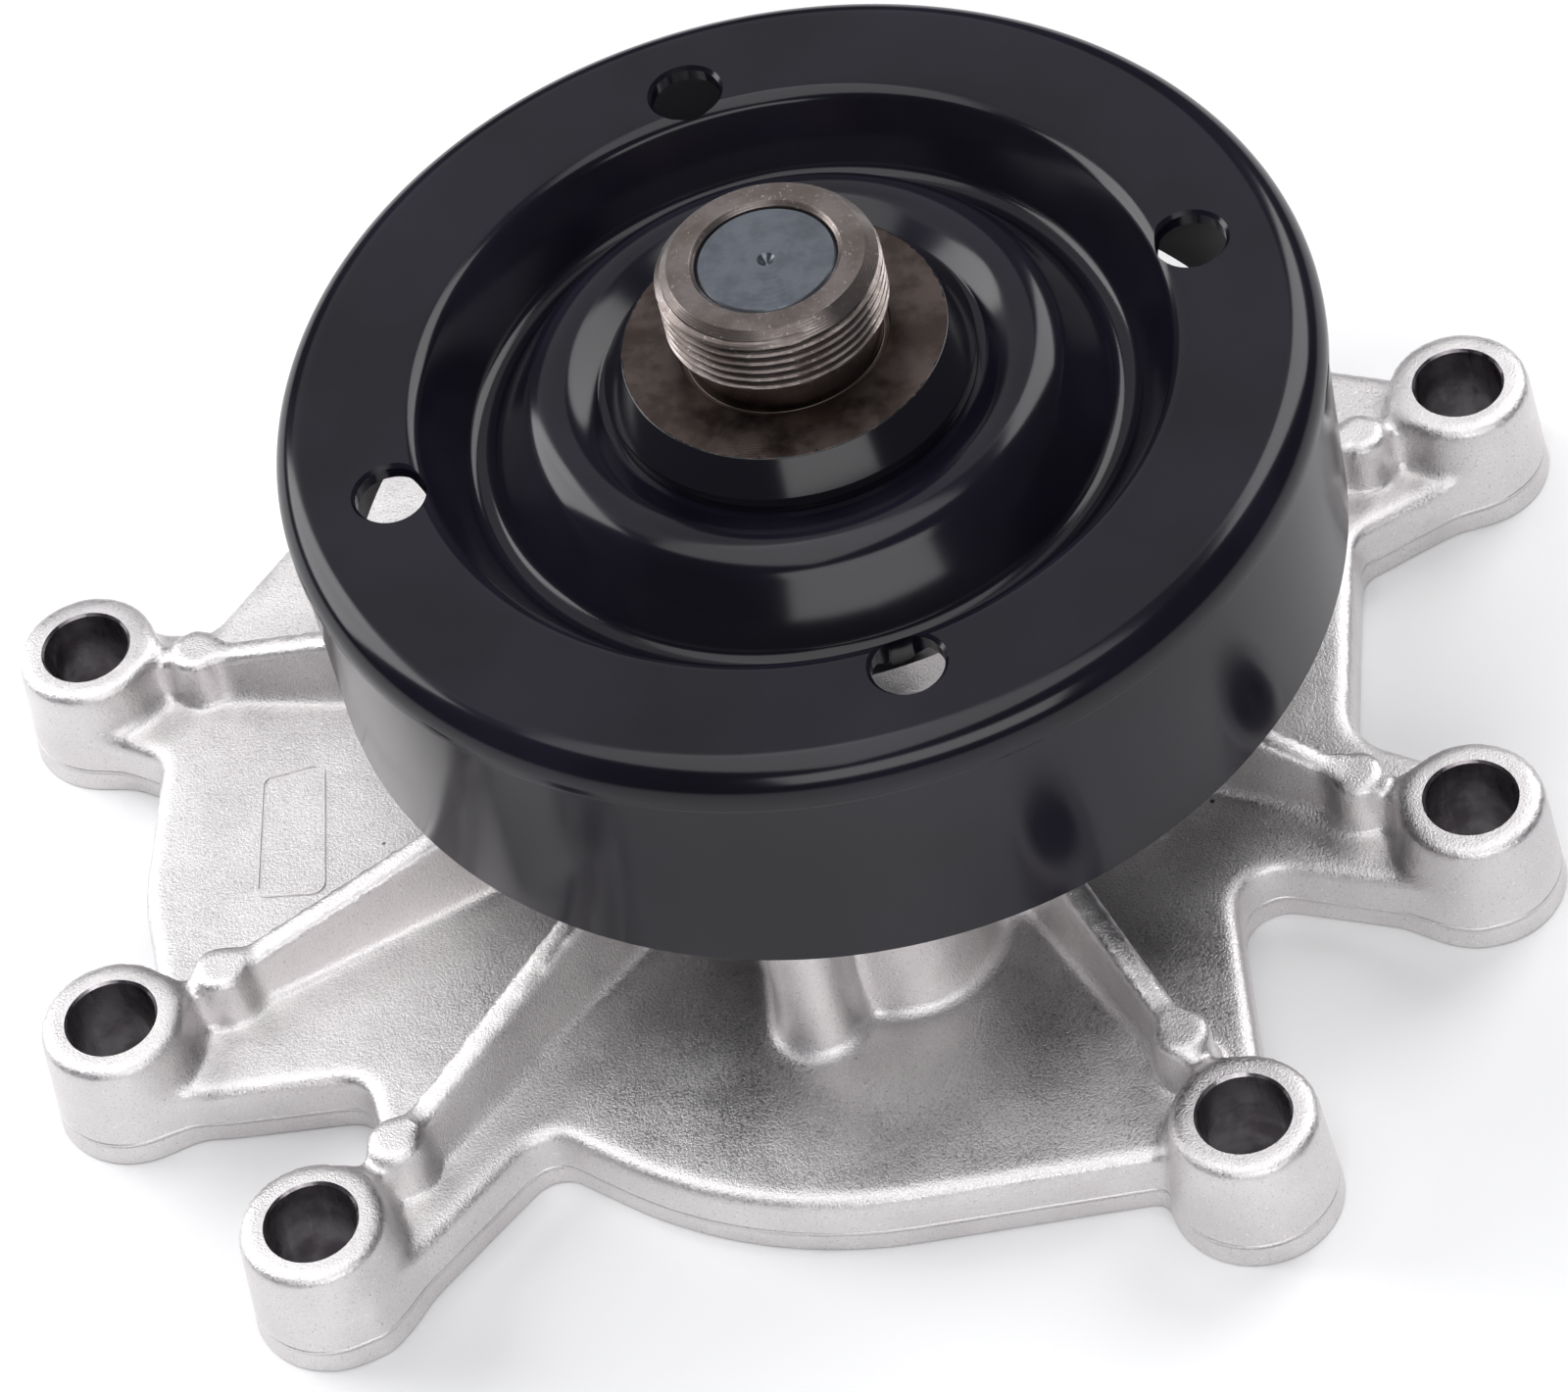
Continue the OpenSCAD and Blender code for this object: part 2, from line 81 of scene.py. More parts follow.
def span(node):
    """A node's lowest and highest corners, in millimetres."""
    low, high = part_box(node)
    return np.array(low) / MM, np.array(high) / MM


def radius(node):
    """Half of a round node's width, in millimetres."""
    low, high = span(node)
    return (high[0] - low[0]) / 2


# ---------------------------------------------------------------- camera, light, floor

CAMERA_AT = (0.05464, -0.58090, 0.68660)
CAMERA_RIGHT = (0.98362, -0.07675, -0.16309)
CAMERA_DOWN = (-0.16412, -0.75541, -0.63437)
CAMERA_AHEAD = (-0.07451, 0.65074, -0.75563)
LENS_MM, SENSOR_MM = 146.52, 36.0


def make_camera():
    data = bpy.data.cameras.new("camera")
    data.lens, data.sensor_width = LENS_MM, SENSOR_MM
    camera = bpy.data.objects.new("camera", data)
    bpy.context.scene.collection.objects.link(camera)
    axes = Matrix((CAMERA_RIGHT, -Vector(CAMERA_DOWN), -Vector(CAMERA_AHEAD))).transposed()
    camera.matrix_world = Matrix.Translation(CAMERA_AT) @ axes.to_4x4()
    bpy.context.scene.camera = camera


def softbox(name, at, aim, width, height, power, colour=(1, 1, 1)):
    """A rectangular area light at a point, turned to face another."""
    data = bpy.data.lights.new(name, "AREA")
    data.shape, data.size, data.size_y = "RECTANGLE", width, height
    data.energy, data.color = power, colour
    light = bpy.data.objects.new(name, data)
    bpy.context.scene.collection.objects.link(light)
    light.location = at
    light.rotation_euler = (Vector(aim) - Vector(at)).to_track_quat("-Z", "Y").to_euler()


def make_lights():
    world = bpy.data.worlds.new("studio")
    bpy.context.scene.world = world
    world.use_nodes = True
    background = world.node_tree.nodes["Background"]
    background.inputs["Color"].default_value = (0.86, 0.87, 1.0, 1)
    background.inputs["Strength"].default_value = 0.11
    target = (0, 0, 0.04)
    softbox("softbox_right", (0.75, 0.75, 0.95), target, 0.7, 0.9, 8)
    softbox("softbox_left", (-1.1, 0.55, 0.75), target, 0.8, 1.0, 12)
    softbox("softbox_front", (0.25, -1.1, 0.75), target, 1.2, 0.6, 7)
    softbox("softbox_back", (-0.45, 1.05, 1.25), target, 1.7, 1.4, 4.5)
    softbox("overhead", (-0.1, -0.1, 1.5), target, 1.3, 1.3, 11)


def make_floor():
    mesh = bpy.data.meshes.new("floor")
    reach, gap = 3.0, 0.0002
    corners = [(-reach, -reach, 0), (reach, -reach, 0), (reach, reach, 0), (-reach, reach, 0)]
    mesh.from_pydata(corners, [], [(0, 1, 2, 3)])
    floor = bpy.data.objects.new("floor", mesh)
    bpy.context.scene.collection.objects.link(floor)
    floor.location.z = CAD_LOW.z - gap
    material = Material("floor_white", (0.92, 0.92, 0.925), 0.6)
    mesh.materials.append(material.made)


# ---------------------------------------------------------------- materials


class Material:
    """A node material with a Principled shader and short calls for its patterns."""

    def __init__(self, name, colour, roughness, metallic=0.0, **inputs):
        self.made = bpy.data.materials.new(name)
        self.made.use_nodes = True
        self.tree = self.made.node_tree
        self.shader = self.tree.nodes["Principled BSDF"]
        self.set("Base Color", (*colour, 1))
        self.set("Roughness", roughness)
        self.set("Metallic", metallic)
        for key, value in inputs.items():
            self.set(key.replace("_", " ").title().replace("Ior", "IOR"), value)
        self.place = self.node("ShaderNodeTexCoord").outputs["Object"]

    def set(self, socket, value):
        self.shader.inputs[socket].default_value = value

    def node(self, kind, **settings):
        made = self.tree.nodes.new(kind)
        for key, value in settings.items():
            setattr(made, key, value)
        return made

    def link(self, output, to):
        self.tree.links.new(output, to)

    def noise(self, size_mm, detail=2.0, roughness=0.5, stretch=(1, 1, 1)):
        """Noise whose blobs are about size_mm across."""
        mapping = self.node("ShaderNodeMapping")
        self.link(self.place, mapping.inputs["Vector"])
        mapping.inputs["Scale"].default_value = tuple(s / (size_mm * MM) for s in stretch)
        noise = self.node("ShaderNodeTexNoise")
        noise.inputs["Scale"].default_value = 1.0
        noise.inputs["Detail"].default_value = detail
        noise.inputs["Roughness"].default_value = roughness
        self.link(mapping.outputs[0], noise.inputs["Vector"])
        return noise.outputs["Fac"]

    def cells(self, size_mm):
        """Distance to the nearest of scattered points about size_mm apart."""
        mapping = self.node("ShaderNodeMapping")
        self.link(self.place, mapping.inputs["Vector"])
        mapping.inputs["Scale"].default_value = (1 / (size_mm * MM),) * 3
        cells = self.node("ShaderNodeTexVoronoi")
        cells.inputs["Scale"].default_value = 1.0
        self.link(mapping.outputs[0], cells.inputs["Vector"])
        return cells.outputs["Distance"]

    def ramp(self, value, low, high, out_low=0.0, out_high=1.0):
        """Maps value from low..high to out_low..out_high, smoothly and clamped."""
        ramp = self.node("ShaderNodeMapRange", interpolation_type="SMOOTHSTEP")
        for socket, number in zip(ramp.inputs[1:5], (low, high, out_low, out_high)):
            socket.default_value = number
        self.link(value, ramp.inputs[0])
        return ramp.outputs[0]

    def maths(self, operation, a, b=None):
        made = self.node("ShaderNodeMath", operation=operation)
        for socket, value in zip(made.inputs, (a, b)):
            if value is None:
                continue
            if isinstance(value, (int, float)):
                socket.default_value = value
            else:
                self.link(value, socket)
        return made.outputs[0]

    def mix(self, factor, a, b):
        """A colour between a and b, each a colour or a socket."""
        made = self.node("ShaderNodeMix", data_type="RGBA")
        self.link(factor, made.inputs[0])
        for socket, value in ((made.inputs[6], a), (made.inputs[7], b)):
            if isinstance(value, tuple):
                socket.default_value = (*value, 1)
            else:
                self.link(value, socket)
        return made.outputs[2]

    def height(self):
        """How far above the floor a point is, in metres."""
        split = self.node("ShaderNodeSeparateXYZ")
        self.link(self.place, split.inputs[0])
        return split.outputs["Z"]

    def from_axis(self):
        """How far from the shaft's axis a point is, in metres."""
        flat = self.node("ShaderNodeVectorMath", operation="MULTIPLY")
        self.link(self.place, flat.inputs[0])
        flat.inputs[1].default_value = (1, 1, 0)
        length = self.node("ShaderNodeVectorMath", operation="LENGTH")
        self.link(flat.outputs[0], length.inputs[0])
        return length.outputs["Value"]

    def rings(self, pitch_mm):
        """Fine turned rings, as waves along the distance from the axis."""
        angle = self.maths("MULTIPLY", self.from_axis(), 2 * pi / (pitch_mm * MM))
        return self.maths("SINE", angle)

    def colour(self, socket):
        self.link(socket, self.shader.inputs["Base Color"])

    def rough(self, socket):
        self.link(socket, self.shader.inputs["Roughness"])

    def bump(self, *layers):
        """Bumps in order, each (height socket, depth in millimetres)."""
        normal = None
        for value, depth_mm in layers:
            bump = self.node("ShaderNodeBump")
            bump.inputs["Strength"].default_value = 1.0
            bump.inputs["Distance"].default_value = depth_mm * MM
            self.link(value, bump.inputs["Height"])
            if normal is not None:
                self.link(normal, bump.inputs["Normal"])
            normal = bump.outputs["Normal"]
        self.link(normal, self.shader.inputs["Normal"])


def cast_aluminium():
    """Die-cast skin: fine sandy grain, soft patches, pits and a parting line."""
    m = Material("cast_aluminium", (0.6, 0.59, 0.58), 0.45, metallic=1.0)
    grain = m.noise(0.34, detail=2.0, roughness=0.7)
    patches = m.noise(14, detail=3.0)
    fine = m.ramp(grain, 0.3, 0.72)
    broad = m.ramp(patches, 0.3, 0.7)
    base = m.mix(broad, (0.70, 0.675, 0.68), (0.80, 0.78, 0.775))
    sparkled = m.mix(m.ramp(grain, 0.60, 0.74), base, (0.97, 0.96, 0.96))
    shaded = m.mix(m.ramp(grain, 0.42, 0.25), sparkled, (0.42, 0.405, 0.40))
    pits = m.ramp(m.cells(9), 0.055, 0.02)
    some = m.ramp(m.noise(30), 0.60, 0.66)
    spotted = m.mix(m.maths("MULTIPLY", pits, some), shaded, (0.10, 0.085, 0.08))
    m.colour(spotted)
    m.rough(m.maths("ADD", m.ramp(patches, 0.25, 0.75, 0.30, 0.42),
                    m.ramp(grain, 0.3, 0.7, 0, 0.14)))
    line = m.maths("ABSOLUTE", m.maths("SUBTRACT", m.height(), PARTING_Z * MM))
    flash = m.ramp(line, 0.00045, 0.0001)
    m.bump((m.noise(7, detail=2.0), 0.16), (fine, 0.03), (flash, 0.30))
    return m.made


def machined_aluminium():
    """Faced and bored surfaces: brighter, with fine tool marks."""
    m = Material("machined_aluminium", (0.78, 0.775, 0.77), 0.3, metallic=1.0)
    marks = m.rings(0.35)
    stains = m.noise(8, detail=4.0)
    m.colour(m.mix(m.ramp(stains, 0.35, 0.7), (0.74, 0.73, 0.72), (0.60, 0.585, 0.57)))
    m.rough(m.ramp(stains, 0.3, 0.7, 0.24, 0.40))
    m.bump((marks, 0.004), (m.noise(0.5), 0.01))
    return m.made


def hole_wall():
    """As-cast wall of a bolt hole, darker and drawn smooth by the core pin."""
    m = Material("hole_wall", (0.55, 0.54, 0.54), 0.35, metallic=1.0)
    streaks = m.noise(1.6, detail=3.0, stretch=(1, 1, 0.2))
    blotches = m.noise(5, detail=4.0)
    m.colour(m.mix(m.ramp(blotches, 0.35, 0.65), (0.17, 0.15, 0.165), (0.34, 0.32, 0.335)))
    m.rough(m.ramp(streaks, 0.3, 0.7, 0.22, 0.42))
    m.bump((streaks, 0.05), (m.noise(0.4), 0.015))
    return m.made


def black_enamel():
    """Stoved gloss enamel: faint orange peel and a few dust nibs."""
    m = Material("black_enamel", (0.006, 0.006, 0.009), 0.3, coat_weight=0.7, coat_roughness=0.15,
                 specular_ior_level=0.0)
    peel = m.noise(3.2, detail=1.5)
    haze = m.noise(26, detail=3.0)
    m.colour(m.mix(m.ramp(haze, 0.3, 0.7), (0.004, 0.0036, 0.007), (0.0085, 0.0075, 0.014)))
    nibs = m.ramp(m.cells(7.5), 0.035, 0.012)
    m.rough(m.maths("ADD", m.ramp(haze, 0.3, 0.7, 0.26, 0.36), m.maths("MULTIPLY", nibs, 0.3)))
    m.bump((peel, 0.010), (nibs, 0.03))
    return m.made


def hub_steel(paint_edge_mm, flange_z):
    """Turned steel with soft stains, darker from just below the thread down over the flange, with
    the pulley's enamel lapping its bevel.
    """
    m = Material("hub_steel", (0.30, 0.27, 0.25), 0.35, metallic=1.0, coat_roughness=0.15,
                 specular_ior_level=0.0)
    stains = m.noise(7, detail=5.0, roughness=0.6)
    specks = m.noise(0.5, detail=2.0)
    steel = m.mix(m.ramp(stains, 0.36, 0.66), (0.235, 0.205, 0.195), (0.13, 0.108, 0.10))
    steel = m.mix(m.ramp(specks, 0.62, 0.75), steel, (0.34, 0.31, 0.295))
    ragged = m.maths("MULTIPLY", m.maths("SUBTRACT", m.noise(1.1, detail=4.0), 0.5), 0.0011)
    edge = m.maths("ADD", m.from_axis(), ragged)
    painted = m.maths("GREATER_THAN", edge, paint_edge_mm * MM)
    # Darkens the steel by height alone: from 4 mm above the flange's top down over the flange.
    dark_below_thread = m.ramp(m.height(), (flange_z + 4) * MM, (flange_z + 0.5) * MM)
    steel = m.mix(dark_below_thread, steel, m.mix(m.ramp(stains, 0.4, 0.6), (0.06, 0.045, 0.04),
                                     (0.095, 0.075, 0.068)))
    m.colour(m.mix(painted, steel, (0.006, 0.006, 0.009)))
    bare = m.maths("SUBTRACT", 1.0, painted)
    m.link(bare, m.shader.inputs["Metallic"])
    m.link(m.maths("MULTIPLY", painted, 0.7), m.shader.inputs["Coat Weight"])
    worn = m.ramp(stains, 0.3, 0.7, 0.27, 0.46)
    m.rough(m.maths("ADD", m.maths("MULTIPLY", worn, bare), m.maths("MULTIPLY", painted, 0.3)))
    rings = m.maths("MULTIPLY", m.rings(0.28), bare)
    m.bump((rings, 0.0035), (m.noise(0.35), 0.008), (painted, 0.05))
    return m.made


def shaft_steel():
    """Ground and blued shaft end, with faint turning rings."""
    m = Material("shaft_steel", (0.11, 0.125, 0.15), 0.3, metallic=1.0)
    stains = m.noise(4, detail=5.0, roughness=0.6)
    rings = m.rings(0.9)
    m.colour(m.mix(m.ramp(stains, 0.35, 0.68), (0.19, 0.205, 0.235), (0.115, 0.125, 0.145)))
    m.rough(m.ramp(stains, 0.3, 0.7, 0.24, 0.42))
    m.bump((rings, 0.003), (m.noise(0.5, detail=3.0), 0.012))
    return m.made


def plain_steel(name, colour, low, high):
    """Small steel pieces: ground or drawn, with soft stains."""
    m = Material(name, colour, low, metallic=1.0)
    stains = m.noise(3, detail=4.0)
    dark = tuple(0.72 * c for c in colour)
    m.colour(m.mix(m.ramp(stains, 0.35, 0.7), colour, dark))
    m.rough(m.ramp(stains, 0.3, 0.7, low, high))
    m.bump((m.noise(0.6, detail=3.0), 0.006))
    return m.made


def moulded(name, colour, low, high, grain_mm=0.5, depth_mm=0.012):
    """Rubber, plastic, carbon and ceramic: a fine moulded or lapped skin."""
    m = Material(name, colour, low)
    blotches = m.noise(6, detail=3.0)
    light = tuple(min(1.0, 1.35 * c + 0.004) for c in colour)
    m.colour(m.mix(m.ramp(blotches, 0.3, 0.7), colour, light))
    m.rough(m.ramp(blotches, 0.3, 0.7, low, high))
    m.bump((m.noise(grain_mm, detail=3.0), depth_mm))
    return m.made


# ---------------------------------------------------------------- the casting's shape

# Plate outline as [x, y, corner radius], the same as the CAD plate's
PLATE_CORNERS = [
    (46, -85, 0), (46, -40, 6), (77.5, -52.5, 0), (85, -34.5, 0), (65, -22, 8),
    (70.5, 13.5, 4), (92, 23, 0), (85, 40.5, 0), (56, 53, 8), (43.5, 97, 0),
    (32.5, 108.5, 0), (18, 77.5, 8), (-26, 73.5, 8), (-36.5, 100, 0), (-53, 94, 0),
    (-65, 67, 8), (-94, 32, 4), (-108.5, 35.5, 0), (-112.5, 16.5, 0), (-101.5, 9.5, 3),
    (-104.5, -15, 30), (-102.5, -32.5, 0), (-102, -51, 0), (-94, -52, 2), (-74, -53, 5),
    (-71.5, -70.5, 2), (-83.5, -72.5, 0), (-74.5, -90.5, 0), (-50, -66.5, 5),
    (-24, -87.5, 62), (35.5, -87.5, 0),
]
# Direction of each boss's ejector pad, in degrees
PAD_TURNS = (-13, 21, 45, 113, 152, 202, 250, 296)
PLATE_T = 10.0
BOSS_H = 18.0
BOSS_TOP_R, BOSS_FOOT_R = 9.9, 11.5
PAD_R, PAD_REACH, PAD_DRAFT = 3.8, 16.3, 0.9
NECK_W, NECK_DROP = 4.6, 1.6
RIB_W = 4.5
PARTING_Z = 3.6
DRAFT = tan(radians(3.0))
# How widely each wall blends into what it stands on
RIB_FILLET, NECK_FILLET, PAD_FILLET, BOSS_FILLET = 2.4, 2.0, 1.3, 2.4
DOME_FILLET, NOSE_FILLET, TOWER_FILLET = 4.0, 3.2, 5.0
# How softly the top edges are rounded
PLATE_EDGE, RIB_EDGE, NECK_EDGE, PAD_EDGE = 2.2, 0.8, 1.0, 0.5
BOSS_EDGE, DOME_EDGE, NOSE_EDGE, TOWER_EDGE = 1.5, 3.0, 3.0, 1.6
# No fillet reaches further than this
BLEND_REACH = 5
# The fillets widen ribs and necks, so their walls start narrower than the CAD's
RIB_SLIM, NECK_SLIM = 0.8, 0.6
RIB_DROP = 1.1
RIB_END_R = 26
TOWER_WALL_FOOT, TOWER_WALL_TOP = 9.5, 5.5
# The cast skin runs on below the mounting face, which is then machined flat
SKIN_BOTTOM = -1.5
HOLE_BEVEL = 0.35
GRID_STEP, QUICK_GRID_STEP = 0.88, 1.3
CAVITY_R, CAVITY_H = 36.0, 14.2
DOME_TOP, DOME_FOOT_R, DOME_TOP_R = 19.0, 46.0, 40.5
RIB_ROOT_R, RIB_ROOT_Z = 44.0, 27.0
NOSE_TOP = 34.0
NOSE = (1.0, 44.0, 12.3)
LOBE = (-11.2, 56.0, 5.0)
PASSAGE = (1.0, 44.0, 8.5)
PASSAGE_H = 20.0
GROOVE_IN, GROOVE_W, GROOVE_H = 3.5, 3.0, 2.6
CASE_R, CASE_TOP = 18.2, 28.0
CHAMBER_R = 16.5
WEEP_R, WEEP_Z, WEEP_TURN = 0.75, 29.0, -46
# Raised outline on the plate's left, as [x, y, corner radius]
CARTOUCHE = [(-88.3, -18.6, 1.6), (-78.8, -19.8, 1.6), (-78.1, 3.7, 1.6), (-86.9, 2.5, 1.6)]
CARTOUCHE_W, CARTOUCHE_H = 0.6, 0.22


def smooth_min(a, b, k):
    h = np.maximum(k - np.abs(a - b), 0) / k
    return np.minimum(a, b) - h * h * k / 4


def smooth_max(a, b, k):
    return -smooth_min(-a, -b, k)


def corner_arc(a, b, c, r, n):
    """Points of the arc of radius r that rounds the corner b between a and c."""
    a, b, c = (np.array(p[:2], float) for p in (a, b, c))
    u, v = (a - b) / np.linalg.norm(a - b), (c - b) / np.linalg.norm(c - b)
    half = acos(float(u @ v)) / 2
    middle = (u + v) / np.linalg.norm(u + v)
    centre = b + middle * r / sin(half)
    start, stop = b + u * r / tan(half) - centre, b + v * r / tan(half) - centre
    first = atan2(start[1], start[0])
    sweep = (atan2(stop[1], stop[0]) - first + pi) % (2 * pi) - pi
    return [centre + r * np.array((cos(first + sweep * i / n), sin(first + sweep * i / n)))
            for i in range(n + 1)]


def rounded(corners, n=10, closed=True):
    """Points of an outline, or of an open path, whose corners are rounded."""
    points = []
    for i, b in enumerate(corners):
        end = not closed and i in (0, len(corners) - 1)
        if end or b[2] == 0:
            points.append(np.array(b[:2], float))
        else:
            a, c = corners[i - 1], corners[(i + 1) % len(corners)]
            points += corner_arc(a, b, c, b[2], n)
    return np.array(points)


def outline_distance(points, x, y):
    """Signed distance from each (x, y) to a closed outline, negative inside."""
    best = np.full(np.broadcast(x, y).shape, 1e9, np.float32)
    inside = np.zeros(best.shape, bool)
    for (ax, ay), (bx, by) in zip(points, np.roll(points, -1, axis=0)):
        ex, ey = bx - ax, by - ay
        t = np.clip(((x - ax) * ex + (y - ay) * ey) / (ex * ex + ey * ey), 0, 1)
        best = np.minimum(best, np.hypot(x - ax - t * ex, y - ay - t * ey))
        if ay != by:
            crosses = ((ay > y) != (by > y)) & (x < ax + (y - ay) * ex / ey)
            inside ^= crosses
    return np.where(inside, -best, best)


class Field:
    """Signed distance to a growing solid, in millimetres, on a regular grid."""

    def __init__(self, low, high, step):
        self.axes = [np.arange(a, b + step, step, dtype=np.float32) for a, b in zip(low, high)]
        self.value = np.full([len(a) for a in self.axes], 99.0, np.float32)
        self.step = step

    def add(self, shape, low, high, blend):
        """Joins a shape, given as a function of x, y and z, inside a box round it."""
        near = tuple(slice(*np.searchsorted(a, (l - BLEND_REACH, h + BLEND_REACH)))
                     for a, l, h in zip(self.axes, low, high))
        x, y, z = (a[c] for a, c in zip(self.axes, near))
        grown = shape(x[:, None, None], y[None, :, None], z[None, None, :])
        self.value[near] = smooth_min(self.value[near], grown, blend)

    def surface(self):
        """The zero level as points and quads, one point in each cell that it crosses."""
        v = self.value
        inside = v < 0
        n = np.array(v.shape) - 1
        corners = [(i, j, k) for i in (0, 1) for j in (0, 1) for k in (0, 1)]
        count = sum(inside[i:n[0] + i, j:n[1] + j, k:n[2] + k].astype(np.int8)
                    for i, j, k in corners)
        cells = np.argwhere((count > 0) & (count < 8))
        values = np.stack([v[tuple((cells + c).T)] for c in corners], 1)
        total, hits = np.zeros((len(cells), 3)), np.zeros((len(cells), 1))
        for a, b in ((a, b) for a in range(8) for b in range(a + 1, 8)):
            step = np.subtract(corners[b], corners[a])
            if np.abs(step).sum() != 1:
                continue
            va, vb = values[:, a], values[:, b]
            crossed = (va < 0) != (vb < 0)
            t = np.where(crossed, va / np.where(crossed, va - vb, 1), 0)[:, None]
            total += crossed[:, None] * (np.array(corners[a]) + t * step)
            hits += crossed[:, None]
        origin = np.array([a[0] for a in self.axes])
        points = origin + (cells + total / hits) * self.step
        number = np.full(n, -1, np.int32)
        number[tuple(cells.T)] = np.arange(len(cells))
        quads = []
        for axis in range(3):
            u, w = np.eye(3, dtype=int)[[(axis + 1) % 3, (axis + 2) % 3]]
            change = np.diff(inside.astype(np.int8), axis=axis)
            at = np.argwhere(change != 0)
            leaving = change[tuple(at.T)] < 0
            ring = [number[tuple((at - d).T)] for d in (u + w, w, 0 * u, u)]
            quad = np.stack(ring, 1)
            quads.append(np.where(leaving[:, None], quad, quad[:, ::-1]))
        return points, np.concatenate(quads)


def bosses():
    """Each bolt boss's centre and the unit direction of its pad."""
    for i, turn in enumerate(PAD_TURNS, 1):
        x, y, _ = MOUNTS[f"bolt_hole_{i}"]["pos_m"]
        yield np.array((x, y)) / MM, np.array((cos(radians(turn)), sin(radians(turn))))


def cone(centre, foot_r, top_r, foot_z, top_z, edge):
    """An upright cone whose sides run on below its foot, with a rounded top edge."""
    def shape(x, y, z):
        lean = (foot_r - top_r) / (top_z - foot_z)
        r = foot_r - lean * (z - foot_z)
        side = np.hypot(x - centre[0], y - centre[1]) - r
        return smooth_max(side, z - top_z, edge)
    return shape


def bar(start, stop, width, top, edge, lean=DRAFT):
    """A straight wall from start to stop. top gives its height along its length."""
    along = (stop - start) / np.linalg.norm(stop - start)
    length = np.linalg.norm(stop - start)

    def shape(x, y, z):
        s = (x - start[0]) * along[0] + (y - start[1]) * along[1]
        t = np.abs((x - start[0]) * -along[1] + (y - start[1]) * along[0])
        crest = top(np.clip(s, 0, length))
        side = t - width / 2 - lean * np.maximum(crest - z, 0)
        ends = np.abs(s - length / 2) - length / 2
        return smooth_max(smooth_max(side, z - crest, edge), ends, edge)
    return shape


def finger(x0, reach, r, top, edge, lean=0.5 * DRAFT):
    """A wall-sided finger towards -Y with a round end and a flat top."""
    def shape(x, y, z):
        side = np.hypot(x - x0, np.minimum(y + reach, 0)) - r - lean * (top - z)
        return smooth_max(np.maximum(side, y), z - top, edge)
    return shape


def around(centre, reach, top):
    """A box up to top from just under the mounting face, reach to each side of centre."""
    return (*(centre - reach), -1), (*(centre + reach), top)


def casting_field(step):
    """The cast skin before machining."""
    low, high = span("housing")
    field = Field(low - 3, high + 3, step)
    outline = rounded(PLATE_CORNERS)
    x, y, _ = field.axes
    flat = outline_distance(outline, x[:, None], y[None, :])[:, :, None]

    z = field.axes[2][None, None, :]
    side = flat - DRAFT * (PLATE_T - PARTING_Z - np.abs(z - PARTING_Z))
    field.value = smooth_max(side, z - PLATE_T, PLATE_EDGE).astype(np.float32)
    field.value = np.maximum(field.value, SKIN_BOTTOM - z)
    for centre, toward in bosses():
        pad = centre + PAD_REACH * toward
        reach = np.linalg.norm(pad)
        root = pad / reach * RIB_END_R

        def crest(s):
            return np.interp(s, (0, reach - RIB_ROOT_R), (BOSS_H - RIB_DROP, RIB_ROOT_Z))

        rib = bar(pad, root, RIB_W - RIB_SLIM, crest, RIB_EDGE)
        lows, highs = np.minimum(pad, root) - 4, np.maximum(pad, root) + 4
        field.add(rib, (*lows, -1), (*highs, RIB_ROOT_Z), RIB_FILLET)
    for centre, toward in bosses():
        pad = centre + PAD_REACH * toward
        neck = bar(centre, pad, NECK_W - NECK_SLIM,
                   lambda s: 0 * s + BOSS_H - NECK_DROP, NECK_EDGE)
        lows, highs = np.minimum(centre, pad) - 4, np.maximum(centre, pad) + 4
        field.add(neck, (*lows, -1), (*highs, BOSS_H), NECK_FILLET)
        post = cone(pad, PAD_R + PAD_DRAFT, PAD_R, 0, BOSS_H, PAD_EDGE)
        field.add(post, *around(pad, 6, BOSS_H), PAD_FILLET)
        boss = cone(centre, BOSS_FOOT_R, BOSS_TOP_R, 0, BOSS_H, BOSS_EDGE)
        field.add(boss, *around(centre, 12, BOSS_H), BOSS_FILLET)
    dome = cone((0, 0), DOME_FOOT_R, DOME_TOP_R, PLATE_T, DOME_TOP, DOME_EDGE)
    field.add(dome, *around(np.zeros(2), 48, DOME_TOP), DOME_FILLET)
    for x0, reach, r in (NOSE, LOBE):
        wall = finger(x0, reach, r, NOSE_TOP, NOSE_EDGE)
        field.add(wall, (x0 - r - 2, -reach - r - 2, -1), (x0 + r + 2, 1, NOSE_TOP), NOSE_FILLET)
    tower_top = high[2]
    ring_r = radius("bearing_outer_ring")
    tower = cone((0, 0), ring_r + TOWER_WALL_FOOT, ring_r + TOWER_WALL_TOP, DOME_TOP,
                 tower_top, TOWER_EDGE)
    field.add(tower, (-32, -32, 5), (32, 32, tower_top), TOWER_FILLET)
    field.value = np.maximum(field.value, SKIN_BOTTOM - z)
    return field


# ---------------------------------------------------------------- mesh helpers


def mesh_object(name, points, faces, materials, smooth=True):
    """An object from points in millimetres."""
    mesh = bpy.data.meshes.new(name)
    mesh.from_pydata((np.asarray(points) * MM).tolist(), [], [list(f) for f in faces])
    for material in materials:
        mesh.materials.append(material)
    mesh.polygons.foreach_set("use_smooth", np.full(len(mesh.polygons), smooth))
    mesh.update()
    made = bpy.data.objects.new(name, mesh)
    bpy.context.scene.collection.objects.link(made)
    return made


